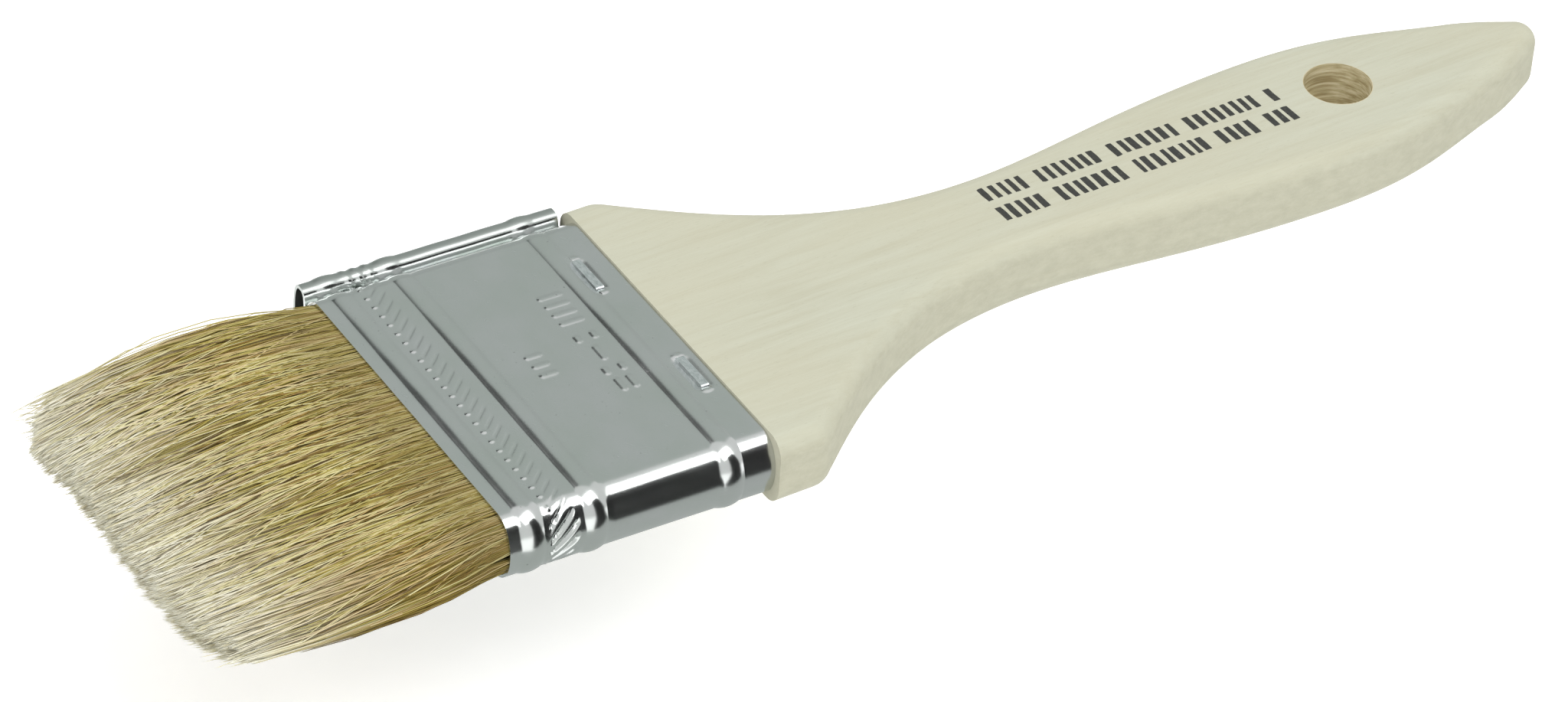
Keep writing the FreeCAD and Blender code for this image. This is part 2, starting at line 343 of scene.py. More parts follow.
def wood_material(hole_centre, hole_radius, yaw):
    """Pale unfinished hardwood with long faint grain. The bore is tan, lightened as painted light, and the
    sides and rounded edges are darker, partly the sawn wood's tone and partly painted shade.
    """
    n = Nodes("pale_wood")
    bands = n.noise(n.place((0.9, 0.055, 0.9), turn=-yaw), 5.0, 0.6, 0.4)
    fibres = n.noise(n.place((5.0, 0.16, 5.0), (3.0, 1.0, 2.0), -yaw), 3.0, 0.6)
    patches = n.noise(n.place((0.06, 0.03, 0.09), (7.0, 2.0, 5.0)), 2.0)
    pores = n.noise(n.place((9.0, 0.9, 9.0), (11.0, 4.0, 1.0), -yaw), 1.0)
    mottled = n.noise(n.place((0.8, 0.5, 0.9), (2.0, 9.0, 4.0)), 5.0, 0.7)
    rings = n.noise(n.place((0.5, 0.10, 2.6), (1.0, 3.0, 0.0)), 4.0, 0.6)
    fine = n.noise(n.place((14.0, 1.3, 14.0), (5.0, 5.0, 5.0), -yaw), 2.0)

    grain = n.ramp(bands, (0.30, (0.428, 0.420, 0.318)), (0.50, (0.458, 0.459, 0.360)),
                   (0.72, (0.482, 0.490, 0.393)))
    tinted = n.mix(n.ramp(patches, (0.35, 0.0), (0.65, 0.55)), grain, (0.472, 0.458, 0.345))
    streaked = n.mix(n.ramp(fibres, (0.40, 0.0), (0.75, 0.22)), tinted, (0.52, 0.53, 0.44))
    pored = n.mix(n.ramp(pores, (0.68, 0.0), (0.76, 0.30)), streaked, (0.30, 0.28, 0.20))
    # Painted shade in part: surfaces that face away from Z are darker and mottled. This is partly the sawn
    # wood's own tone and partly shade painted where the sides turn from the light.
    edge = n.ramp(n.facing("Z"), (0.20, 0.80), (0.92, 0.0))
    side_tone_and_shade = n.ramp(mottled, (0.35, (0.358, 0.350, 0.264)), (0.65, (0.416, 0.409, 0.314)))
    with_side_shade = n.mix(edge, pored, side_tone_and_shade)

    position = n.position()
    off_x = n.math("SUBTRACT", position["X"], hole_centre[0] * MM)
    off_y = n.math("SUBTRACT", position["Y"], hole_centre[1] * MM)
    squares = n.math("ADD", n.math("MULTIPLY", off_x, off_x), n.math("MULTIPLY", off_y, off_y))
    bore_margin = 0.06
    in_hole = n.math("LESS_THAN", n.math("SQRT", squares), (hole_radius + bore_margin) * MM)
    # The bore's tan is the drilled wood's own tone, lightened as painted light so that the deep hole does
    # not render dark.
    bore_tone_and_painted_light = n.ramp(rings, (0.35, (0.30, 0.24, 0.12)), (0.50, (0.45, 0.39, 0.23)), (0.65, (0.60, 0.54, 0.37)))

    relief = n.bump(n.mix(0.5, fibres, mottled), 0.10, 0.45)
    n.set(Base_Color=n.mix(in_hole, with_side_shade, bore_tone_and_painted_light), Roughness=n.ramp(mottled, (0.3, 0.62), (0.7, 0.78)),
          Normal=n.bump(fine, 0.02, 0.5, relief), Specular_IOR_Level=0.28)
    return n.material


def tin_material():
    """Bright tinplate: satin on the flats, almost a mirror on the bends, dull on the seam's roll, whose
    colour is also darkened there as painted shade, with slow clouds and a few hair scratches."""
    n = Nodes("tinplate")
    cloud = n.noise(n.place((0.10, 0.13, 0.2), (3.0, 6.0, 1.0)), 3.0)
    smear = n.noise(n.place((0.45, 0.10, 0.45), (2.0, 7.0, 3.0), 0.3), 3.0)
    scratches = n.noise(n.place((6.0, 0.35, 6.0), (5.0, 5.0, 5.0), 0.9), 2.0, 0.6)
    specks = n.noise(n.place((2.6, 2.6, 2.6), (9.0, 2.0, 4.0)), 1.0)
    seam_edge = -HALF_WIDTH - 0.35
    on_seam = n.math("LESS_THAN", n.position()["X"], seam_edge * MM)

    tint = n.ramp(cloud, (0.30, (0.590, 0.625, 0.600)), (0.70, (0.640, 0.655, 0.655)))
    spotted = n.mix(n.ramp(specks, (0.765, 0.0), (0.80, 0.6)), tint, (0.30, 0.31, 0.30))
    # Painted shade: the seam's roll gets a darker metal colour, so that its bends reflect grey rather than
    # white.
    colour = n.mix(on_seam, spotted, (0.44, 0.47, 0.45))

    bend = n.ramp(n.facing("Z"), (0.30, 0.19), (0.75, 0.14), (0.97, 0.21))
    base = n.mix(on_seam, bend, (0.36, 0.36, 0.36))
    smeared = n.mix(n.ramp(smear, (0.45, 0.0), (0.75, 0.25)), base, (0.27, 0.27, 0.27))
    scratched = n.mix(n.ramp(scratches, (0.66, 0.0), (0.74, 0.5)), smeared, (0.34, 0.34, 0.34))
    n.set(Base_Color=colour, Metallic=1.0, Roughness=scratched, Normal=n.bump(scratches, 0.002, 0.15))
    return n.material


def staple_material():
    """Galvanised flat wire with faint drawing lines."""
    n = Nodes("galvanised_wire")
    spangle = n.noise(n.place((1.6, 2.4, 2.0)), 3.0)
    drawn = n.noise(n.place((0.8, 16.0, 8.0)), 3.0)
    colour = n.ramp(spangle, (0.35, (0.56, 0.61, 0.61)), (0.65, (0.76, 0.80, 0.81)))
    n.set(Base_Color=colour, Metallic=1.0, Roughness=n.ramp(drawn, (0.3, 0.24), (0.7, 0.42)),
          Normal=n.bump(drawn, 0.02, 0.4))
    return n.material


def bristle_material():
    """Hog bristle. The UV layer gives each strand its tone across and its root-to-tip place upwards."""
    n = Nodes("hog_bristle")
    uv = n.split(n.add("ShaderNodeUVMap", uv_map="OFBake").outputs["UV"])
    place = uv["Y"]
    tone = n.math("FLOOR", n.math("MULTIPLY", uv["X"], float(TONES)))
    shade = n.math("DIVIDE", tone, float(TONES))

    golden = n.ramp(shade, (0.00, (0.060, 0.032, 0.008)), (0.12, (0.140, 0.086, 0.014)),
                    (0.30, (0.252, 0.180, 0.028)), (0.55, (0.335, 0.262, 0.044)),
                    (0.80, (0.430, 0.368, 0.086)), (1.00, (0.730, 0.680, 0.360)))
    amber = n.ramp(shade, (0.0, (0.068, 0.034, 0.008)), (0.5, (0.325, 0.195, 0.030)),
                   (1.0, (0.690, 0.570, 0.300)))
    # The tips' cream is partly the bristles' own paler ends and partly painted light. It is lifted to stand
    # in for light that passes through the tips and fills the shade between them.
    tip = n.ramp(shade, (0.0, (0.62, 0.60, 0.47)), (0.3, (0.73, 0.71, 0.57)), (1.0, (0.86, 0.85, 0.73)))
    amber_from = 0.64
    is_amber = n.math("GREATER_THAN", n.scatter(tone, 0.618), amber_from)
    shaft = n.mix(is_amber, golden, amber)
    # Painted shade: the strands are darkened near the ferrule's mouth, and this fades out along them.
    painted_shade_at_mouth = n.mix(n.ramp(place, (0.30, 0.50), (0.48, 0.0)), shaft, (0.185, 0.145, 0.042))

    streak_place = n.add("ShaderNodeCombineXYZ")
    n.link(n.math("MULTIPLY", tone, 3.7), streak_place.inputs["X"])
    n.link(n.math("MULTIPLY", place, 9.0), streak_place.inputs["Y"])
    streaks = n.noise(streak_place.outputs["Vector"], 3.0)
    streaked = n.mix(n.ramp(streaks, (0.35, 0.25), (0.65, 0.0)), painted_shade_at_mouth, (0.30, 0.21, 0.07))

    fade_spread = 0.20
    shift = n.math("ADD", n.math("MULTIPLY", n.scatter(tone, 0.377), fade_spread), -fade_spread / 2)
    fade = n.ramp(n.math("ADD", place, shift), (0.60, 0.0), (0.76, 0.26), (0.90, 0.80), (0.99, 1.0))
    n.set(Base_Color=n.mix(fade, streaked, tip), Roughness=n.ramp(streaks, (0.3, 0.38), (0.7, 0.55)),
          Specular_IOR_Level=0.4)
    return n.material


def ink_material():
    """Worn black stamping ink that the wood shows through."""
    n = Nodes("stamp_ink")
    worn = n.noise(n.place((2.4, 2.4, 2.4)), 5.0, 0.75)
    fibres = n.noise(n.place((5.0, 0.5, 5.0), (3.0, 1.0, 2.0)), 3.0)
    black = n.ramp(worn, (0.36, (0.020, 0.021, 0.018)), (0.62, (0.040, 0.041, 0.036)),
                   (0.74, (0.22, 0.22, 0.17)))
    n.set(Base_Color=n.mix(0.2, black, fibres, "MULTIPLY"), Roughness=n.ramp(worn, (0.3, 0.55), (0.7, 0.75)),
          Normal=n.bump(worn, 0.02, 0.4))
    return n.material


def hidden_material(name, dark, light, roughness, scale):
    """What is sealed inside: the plug's softwood or the cured resin, each with its own cloudiness."""
    n = Nodes(name)
    cloud = n.noise(n.place(scale))
    n.set(Base_Color=n.ramp(cloud, (0.3, dark), (0.7, light)), Roughness=roughness,
          Normal=n.bump(cloud, 0.05, 0.4))
    return n.material


def floor_material():
    """Pale paper that glows a little, so that the ground stays white under the brush."""
    n = Nodes("paper_ground")
    fibre = n.noise(n.place((0.4, 0.4, 0.4)))
    n.set(Base_Color=n.ramp(fibre, (0.3, (0.93, 0.93, 0.93)), (0.7, (0.96, 0.96, 0.96))), Roughness=0.9,
          Emission_Color=WHITE, Emission_Strength=0.3, Specular_IOR_Level=0.0)
    return n.material


def glow_material(name, colour, strength):
    """Even light for the studio's cards and backdrop."""
    material = bpy.data.materials.new(name)
    material.use_nodes = True
    nodes = material.node_tree.nodes
    nodes.clear()
    emit = nodes.new("ShaderNodeEmission")
    emit.inputs["Color"].default_value = (*colour, 1.0)
    emit.inputs["Strength"].default_value = strength
    output = nodes.new("ShaderNodeOutputMaterial")
    material.node_tree.links.new(emit.outputs["Emission"], output.inputs["Surface"])
    return material


# ---------------------------------------------------------------- ferrule

def section_table():
    """The ferrule's outer loop from the middle of the -X side over the front: distances round it, rows of
    x, z and the outward normal, and where the flat faces end across."""
    tilt = math.asin((HALF_THICK - CORNER_R) / (SIDE_R - CORNER_R))
    side_x = HALF_WIDTH - SIDE_R
    corner_x = side_x + (SIDE_R - CORNER_R) * math.cos(tilt)
    corner_z = HALF_THICK - CORNER_R
    arcs = (
        (-side_x, 0.0, SIDE_R, math.pi, math.pi - tilt),
        (-corner_x, corner_z, CORNER_R, math.pi - tilt, math.pi / 2),
        (corner_x, corner_z, CORNER_R, math.pi / 2, tilt),
        (side_x, 0.0, SIDE_R, tilt, -tilt),
        (corner_x, -corner_z, CORNER_R, -tilt, -math.pi / 2),
        (-corner_x, -corner_z, CORNER_R, -math.pi / 2, -math.pi + tilt),
        (-side_x, 0.0, SIDE_R, -math.pi + tilt, -math.pi),
    )
    rows = []
    for x, z, radius, start, end in arcs:
        for angle in np.linspace(start, end, ARC_STEPS):
            c, s = math.cos(angle), math.sin(angle)
            rows.append((x + radius * c, z + radius * s, c, s))
    table = np.array(rows)
    steps = np.hypot(np.diff(table[:, 0]), np.diff(table[:, 1]))
    return np.concatenate([[0.0], np.cumsum(steps)]), table, corner_x


LOOP_AT, LOOP, FLAT_X = section_table()
LOOP_LENGTH = LOOP_AT[-1]
FRONT_AT = LOOP_AT[2 * ARC_STEPS - 1]        # the flat front begins after two arcs


def loop_point(at):
    x, z, nx, nz = (np.interp(at, LOOP_AT, LOOP[:, k]) for k in range(4))
    size = np.hypot(nx, nz)
    return x, z, nx / size, nz / size


def bead_profile(y):
    """Height of the pressed beads: arcs that meet the sheet at a crease."""
    radius = ((BEAD_WIDTH / 2) ** 2 + BEAD_HEIGHT ** 2) / (2 * BEAD_HEIGHT)
    total = 0.0
    for start in BEADS:
        off = y - start - BEAD_WIDTH / 2
        if abs(off) < BEAD_WIDTH / 2:
            total += math.sqrt(radius ** 2 - off ** 2) - (radius - BEAD_HEIGHT)
    return total


def knurl(at, y, side):
    """A row of raised dots, each with a slanting groove running from it towards the second bead. Side is 1
    on the narrow sides, where the grooves are deeper, wider and longer, and 0 on the flat faces."""
    pitch = LOOP_LENGTH / round(LOOP_LENGTH / KNURL_PITCH)
    steps = at / pitch
    dot = np.hypot((steps - np.round(steps)) * pitch, y - KNURL_DOT_Y)
    height = KNURL_DOT_HEIGHT * (1 - smoothstep(0.0, KNURL_DOT_R, dot))

    slanted = (at + (y - KNURL_DOT_Y) * KNURL_LEAN) / pitch
    across = np.abs(slanted - np.round(slanted)) * pitch * KNURL_LEAN_COS
    low = KNURL_STROKE[0] - 0.8 * side
    high = KNURL_STROKE[1] + 0.6 * side
    run = smoothstep(low - 0.3, low + 0.3, y) * (1 - smoothstep(high - 0.7, high + 0.1, y))
    groove = 1 - smoothstep(0.0, KNURL_GROOVE_R + 0.12 * side, across)
    height = height - (KNURL_DEPTH + KNURL_SIDE_DEPTH * side) * run * groove
    return height + KNURL_RIDGE * run * smoothstep(0.25, 0.5, across)


def size_pips():
    """Plain raised pips in place of a size mark: x, distance from the mouth, half length across, half
    length along."""
    bars = [(x, MARK_Y, 0.0, 1.25) for x in (-11.2, -9.4, -7.6, -5.8)]
    rounds = [(x, MARK_Y + y, 0.35, 0.0) for x in (-2.4, 4.4) for y in (-1.1, 1.1)]
    dashes = [(1.0, MARK_Y, 1.1, 0.0), (7.4, MARK_Y - 0.8, 0.9, 0.0), (7.4, MARK_Y + 0.8, 0.9, 0.0)]
    small = [(x, SMALL_MARK_Y, 0.0, 0.75) for x in (-1.9, 0.0, 1.9)]
    return bars + rounds + dashes + small


def pip_height(x, y):
    """The pips, each with a faint dip round it."""
    height = np.zeros_like(x)
    for centre_x, centre_y, half_x, half_y in size_pips():
        off_x = np.maximum(np.abs(x - centre_x) - half_x, 0)
        off_y = max(abs(y - centre_y) - half_y, 0)
        near = np.hypot(off_x, off_y)
        height = np.maximum(height, PIP_HEIGHT * (1 - smoothstep(0.0, PIP_R, near)))
        height = height - PIP_DIP * np.exp(-((near - PIP_DIP_R) / PIP_DIP_WIDTH) ** 2)
    return height


def staple_places(front):
    """Middle across, distance from the mouth and half length of each staple on one face."""
    found = []
    for node in STAPLE_NODES:
        if ("front" in node) == front:
            low, high = box_mm(node)
            found.append(((low[0] + high[0]) / 2, (low[1] + high[1]) / 2 - MOUTH, (high[0] - low[0]) / 2))
    return found


def dimple_height(x, y, front):
    """Each staple pulls the sheet down along its crown and pinches it up at its ends."""
    height = np.zeros_like(x)
    for centre_x, centre_y, half in staple_places(front):
        near = np.hypot(np.maximum(np.abs(x - centre_x) - (half - 0.8), 0), y - centre_y)
        height = height - STAPLE_DIP * (1 - smoothstep(0.45, 1.7, near))
        for end in (-1, 1):
            pinch = np.hypot(x - centre_x - end * (half + 0.25), (y - centre_y) * 0.8)
            height = height + STAPLE_PINCH * (1 - smoothstep(0.1, 0.95, pinch))
    return height


def waviness(x, y):
    """The slow unevenness of thin sheet."""
    return 0.020 * np.sin(0.31 * x + 0.9) * np.sin(0.23 * y + 0.4) + 0.010 * np.sin(0.83 * x + 0.35 * y)


def outer_height(at, y):
    """How far the sheet's outside stands out of the plain loop. The beads flatten out on the front
    towards the seam."""
    x, _, _, nz = loop_point(at)
    side = 1 - smoothstep(0.35, 0.95, np.abs(nz))
    shallow = BEAD_FADE * (1 - smoothstep(*BEAD_FADE_X, x)) * np.clip(nz, 0, 1)
    height = bead_profile(y) * (1 - shallow) + waviness(x, y) * np.abs(nz)
    if BEADS[0] + BEAD_WIDTH < y < BEADS[1]:
        height = height + knurl(at, y, side)
    front = nz > FACE_NORMAL
    height = height + np.where(front, pip_height(x, y), 0.0)
    height = height + np.where(front, dimple_height(x, y, True), 0.0)
    return height + np.where(nz < -FACE_NORMAL, dimple_height(x, y, False), 0.0)


def spaced(start, end, step):
    return np.linspace(start, end, max(2, int(math.ceil((end - start) / step)) + 1))


def columns(kind):
    """Places round the loop for a row of the mesh: coarse on the flats, fine where a row has detail."""
    bend = (LOOP_LENGTH - 4 * FLAT_X) / 2
    front_end = FRONT_AT + 2 * FLAT_X
    back_start = front_end + bend
    back_end = FRONT_AT + 4 * FLAT_X + bend
    front_middle = FRONT_AT + FLAT_X
    back_middle = back_start + FLAT_X

    bends = ((0.0, FRONT_AT), (front_end, back_start), (back_end, LOOP_LENGTH))
    sets = [spaced(low, high, BEND_STEP) for low, high in bends]
    flat_step = KNURL_COLUMN if kind == "knurl" else COARSE
    sets += [spaced(low, high, flat_step) for low, high in ((FRONT_AT, front_end), (back_start, back_end))]
    if kind == "mark":
        sets.append(spaced(front_middle + MARK_COLUMNS[0], front_middle + MARK_COLUMNS[1], FINE))
    if kind == "staple":
        places = [(front_middle + centre, half) for centre, _, half in staple_places(True)]
        places += [(back_middle - centre, half) for centre, _, half in staple_places(False)]
        for middle, half in places:
            sets.append(spaced(middle - half - STAPLE_MARGIN, middle + half + STAPLE_MARGIN, FINE))
    found = np.unique(np.round(np.concatenate(sets), 4))
    found = found[found < LOOP_LENGTH - 1e-3]
    return found[np.concatenate([[True], np.diff(found) > CLOSEST_COLUMNS])]


def ferrule_rows():
    """Distances from the mouth with the kind of columns that each row needs. The spans are start, end,
    step and kind, and the finer kind wins where two of them meet."""
    bead_ends = [start + BEAD_WIDTH for start in BEADS]
    staple_y = [y for front in (True, False) for _, y, _ in staple_places(front)]
    staples_from = max(min(staple_y) - STAPLE_MARGIN, bead_ends[2] + 0.05)
    staples_to = min(max(staple_y) + STAPLE_MARGIN, FERRULE_LENGTH - 0.1)
    spans = (
        (0.0, BEADS[0], 0.45, "plain"),
        (bead_ends[0] + 0.25, BEADS[1] - 0.25, KNURL_ROW, "knurl"),
        (bead_ends[1], 16.4, 0.8, "plain"),
        (16.7, 19.7, FINE, "mark"),
        (20.0, 23.3, 0.8, "plain"),
        (23.5, 27.9, FINE, "mark"),
        (28.1, BEADS[2], 0.5, "plain"),
        (staples_from, staples_to, FINE, "staple"),
    )
    rows = [(FERRULE_LENGTH, "plain")]
    for start, end in zip(BEADS, bead_ends):
        rows += [(y, "plain") for y in np.linspace(start, end, BEAD_ROWS)]
    for start, end, step, kind in spans:
        rows += [(y, kind) for y in spaced(start, end, step)]
    kinds = {}
    for y, kind in rows:
        key = round(float(y), 3)
        if kinds.get(key, "plain") == "plain":
            kinds[key] = kind
    return sorted(kinds.items())


def skin(rings):
    """Faces that join rings in order and the last to the first. A ring is its point indices and their
    places round the loop."""
    faces = []
    for (first, first_at), (second, second_at) in zip(rings, rings[1:] + rings[:1]):
        faces += strip(first, second, first_at, second_at)
    return faces


def band_mesh():
    """The ferrule's band: a detailed outside and a plain inside, as one closed skin. Each point also
    has its patch of the UV layer and its place round and along the band."""
    points, places, rings = [], [], []

    def add_ring(kind, y, inside):
        at = columns(kind)
        x, z, nx, nz = loop_point(at)
        height = np.full_like(x, -SHEET) if inside else outer_height(at, y)
        rings.append((list(range(len(points), len(points) + len(at))), at))
        for k in range(len(at)):
            points.append((x[k] + nx[k] * height[k], MOUTH + y, MID + z[k] + nz[k] * height[k]))
            places.append((INSIDE if inside else OUTSIDE, at[k] / LOOP_LENGTH, y / FERRULE_LENGTH))

    for y, kind in ferrule_rows():
        add_ring(kind, y, False)
    for share in (1.0, 0.85, 0.5, 0.15, 0.0):
        add_ring("plain", FERRULE_LENGTH * share, True)
    return points, skin(rings), places


def seam_mesh():
    """The folded lock seam as a hollow flat roll on the -X side. It swells a little over the beads and is
    dented where the knurl crosses it."""
    centre_x = FERRULE_LOW[0] + SEAM_DEPTH
    end = FERRULE_LENGTH - SEAM_SHORT
    angles = np.linspace(0, 2 * math.pi, SEAM_SIDES, endpoint=False)
    power_x, power_z = SEAM_POWERS
    low, high = SEAM_KNURL
    points, places, rings = [], [], []

    def add_ring(y, inside):
        rings.append((list(range(len(points), len(points) + len(angles))), angles))
        patch = SEAM_INSIDE if inside else SEAM_OUTSIDE
        swell = SEAM_SWELL * bead_profile(y) / BEAD_HEIGHT
        knurled = smoothstep(low, low + 0.6, y) * (1 - smoothstep(high - 0.6, high, y))
        for angle in angles:
            c, s = math.cos(angle), math.sin(angle)
            dents = SEAM_DENT * knurled * math.sin(y * 4.1 + angle * 1.5)
            unevenness = 0.012 * math.sin(y * 0.9 + angle * 2)
            grow = -SEAM_WALL if inside else swell + (dents + unevenness)
            x = math.copysign(abs(c) ** power_x, c) * (SEAM_DEPTH + grow)
            z = math.copysign(abs(s) ** power_z, s) * (SEAM_HALF_HEIGHT + grow)
            points.append((centre_x + x, MOUTH + y, MID + z))
            places.append((patch, angle / (2 * math.pi), y / FERRULE_LENGTH))

    for y in spaced(0.0, end, SEAM_ROW):
        add_ring(y, False)
    for y in (end, end - SEAM_INNER_ROW, SEAM_INNER_ROW, 0.0):
        add_ring(y, True)
    return points, skin(rings), places


def read_array(items, name, kind=np.int32):
    found = np.zeros(len(items), dtype=kind)
    items.foreach_get(name, found)
    return found


def unwrap_ferrule(mesh, places):
    """UV layer. The band's outside is cut at the middle of each narrow side into two wide strips, stacked
    one over the other. Its inside and the seam lie in narrow upright strips beside them."""
    patch, around, along = np.array(places).T
    starts = read_array(mesh.polygons, "loop_start")
    corners = read_array(mesh.loops, "vertex_index")
    sizes = np.diff(np.append(starts, len(corners)))
    face_patch = np.repeat(np.maximum.reduceat(patch[corners], starts), sizes)
    turn = around[corners]
    y = along[corners]

    # a face that crosses the loop's start has its low places moved past the loop's end
    spread = np.maximum.reduceat(turn, starts) - np.minimum.reduceat(turn, starts)
    turn = turn + (np.repeat(spread, sizes) > 0.5) * (turn < 0.5)
    half = (np.repeat(np.add.reduceat(turn, starts) / sizes, sizes) > 0.5) * 1.0

    u = np.where(face_patch == OUTSIDE, (turn - 0.5 * half) * 1.5, 0.80 + 0.08 * y)
    v = np.where(face_patch == OUTSIDE, 0.01 + 0.47 * y + 0.5 * half, 0.01 + 0.97 * turn)
    on_seam = face_patch >= SEAM_OUTSIDE
    u = np.where(on_seam, 0.90 + 0.04 * turn + 0.05 * (face_patch == SEAM_INSIDE), u)
    v = np.where(on_seam, 0.01 + 0.97 * y, v)
    layer = mesh.uv_layers.new(name="OFBake")
    layer.data.foreach_set("uv", np.stack([u, v], axis=1).astype(np.float32).ravel())


def make_ferrule(material):
    points, faces, places = band_mesh()
    seam_points, seam_faces, seam_places = seam_mesh()
    shift = len(points)
    faces = faces + [tuple(i + shift for i in face) for face in seam_faces]
    obj = new_object("tin_ferrule", points + seam_points, faces)
    unwrap_ferrule(obj.data, places + seam_places)
    obj.data.materials.append(material)
    obj.data.set_sharp_from_angle(angle=math.radians(CREASE_DEGREES))
    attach(obj, "brush")
    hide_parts("ferrule")


# ---------------------------------------------------------------- bristles

def draw_locks(rng):
    """The bundles that the strands of one piece gather in."""
    return SimpleNamespace(
        across=rng.uniform(-1, 1, LOCKS),
        depth=rng.uniform(0.1, 1.0, LOCKS),
        longer=rng.normal(0, 0.38, LOCKS),
        sink=rng.uniform(0, 0.16, LOCKS),
        shade=rng.normal(0, 0.08, LOCKS))


def draw_strands(rng, count):
    """What varies from strand to strand. Across runs from -1 to 1 over the tuft's width and depth from 0
    in its middle to 1 on its face. Some strands cross over the others and a few wander freely on top."""
    across = rng.uniform(-1, 1, count)
    depth = rng.uniform(0, 1, count) ** 0.7
    crossing = rng.random(count) < CROSSING_SHARE
    wandering = rng.random(count) < WANDERING_SHARE
    depth = np.where(wandering, 1.0, depth)
    drift = rng.normal(0, 0.012, count) + crossing * rng.normal(0, 0.075, count)
    drift += wandering * rng.normal(0, 0.17, count)
    sink = rng.normal(0, 0.04, count) + crossing * rng.uniform(0, 0.25, count)

    locks = draw_locks(rng)
    off = np.hypot(across[:, None] - locks.across[None, :], 0.10 * (depth[:, None] - locks.depth[None, :]))
    lock = np.argmin(off + np.abs(rng.normal(0, 0.008, off.shape)), axis=1)
    to_lock = locks.across[lock] - across
    pull = rng.uniform(0.15, 0.75, count) * np.where(crossing | wandering, 0.1, 1.0)

    reach = np.interp(across * TIP_ACROSS[-1], TIP_ACROSS, TIP_REACH) + locks.longer[lock]
    reach = reach + 0.9 - np.minimum(1.5, 60 * np.abs(to_lock)) - np.abs(rng.normal(0, 0.35, count))
    reach = reach - (rng.random(count) < SHORT_SHARE) * rng.uniform(0, 6, count)
    bow = rng.normal(0, 0.30, (count, 2)) * np.where(wandering, 4.0, 1.0)[:, None]
    wave = rng.uniform(0, 2 * math.pi, (count, 2))
    curl = rng.uniform(4.0, 10.0, count)
    radius = rng.uniform(*STRAND_R, count)

    # Strands at the tuft's +X edge get a darker tone: painted shade on the tuft's side.
    shade = rng.beta(3.2, 2.6, count) + locks.shade[lock] - 0.12 * smoothstep(0.90, 1.0, across)
    shade = np.where(rng.random(count) < DARK_SHARE, rng.uniform(0.0, 0.2, count), shade)
    pale = (crossing | wandering) & (rng.random(count) < 0.75)
    shade = np.where(pale, rng.uniform(0.75, 1.0, count), shade)
    return SimpleNamespace(
        across=across, depth=depth, wandering=wandering, drift=drift, sink=sink, to_lock=to_lock, pull=pull,
        lock_sink=locks.sink[lock], reach=reach, bow=bow, wave=wave, curl=curl, radius=radius,
        tone=np.floor(np.clip(shade, 0.0, 0.999) * TONES))


def strand_ring(strands, row, out, t):
    """Centres of one ring of every strand. Out is the ring's distance from the mouth on a full-length
    strand, and t runs from 0 at the mouth to 1 at the tip. Row is 1 for the front and -1 for the back."""
    free = smoothstep(0.0, 0.8, t)
    gather = strands.pull * (0.50 * free + 0.12 * smoothstep(0.72, 1.0, t))
    length = np.where(out > 0, out * strands.reach / STRAND_RINGS[-1], out)
    half_width = np.interp(length, TUFT_OUT, TUFT_HALF_WIDTH)
    half_thick = np.interp(length, TUFT_OUT, TUFT_HALF_THICK)
    gap = np.interp(length, (-5.0, 3.0), (1.15, 0.02))

    across = np.clip(strands.across + strands.drift * t + strands.to_lock * gather, -1.03, 1.03)
    bow = strands.bow * math.sin(math.pi * t)
    curl = np.sin(strands.wave + (strands.curl * t)[:, None]) * free
    x = across * half_width + bow[:, 0] + 0.16 * curl[:, 0]
    x = np.clip(x, -half_width - STRAY_OUT, half_width + STRAY_OUT)

    depth = strands.depth + strands.sink * t - strands.lock_sink * free * (strands.depth > 0.4)
    depth = np.clip(np.where(strands.wandering, 1.0 + 0.05 * free, depth), 0, 1.05)
    rounded = np.sqrt(np.clip(1 - np.abs(across) ** 18, 0.02, 1))
    z = row * (gap + depth * (half_thick * rounded - gap))
    z = z + bow[:, 1] * 0.4 * (1 - strands.wandering) + 0.09 * curl[:, 1]
    return np.stack([x, MOUTH - length, MID + z - TIP_SAG * t ** 2], axis=1)


def strand_pattern():
    """The faces of one strand and the UV of each face's corners: a tapering tube that ends in a point."""
    rings, sides = len(STRAND_RINGS), STRAND_SIDES
    heights = np.linspace(0, 1, rings)
    edges = [0.2 + 0.6 * side / sides for side in range(sides + 1)]
    tip = (rings - 1) * sides
    faces, uv = [], []
    for ring in range(rings - 1):
        low, high = heights[ring], heights[ring + 1]
        for side in range(sides):
            left, right = edges[side], edges[side + 1]
            first, second = ring * sides + side, ring * sides + (side + 1) % sides
            if ring < rings - 2:
                faces.append((first, second, second + sides, first + sides))
                uv += [(left, low), (right, low), (right, high), (left, high)]
            else:
                faces.append((first, second, tip))
                uv += [(left, low), (right, low), ((left + right) / 2, 1.0)]
    faces.append(tuple(reversed(range(sides))))
    uv += [(edge, 0.0) for edge in edges[:sides]]
    return faces, np.array(uv)


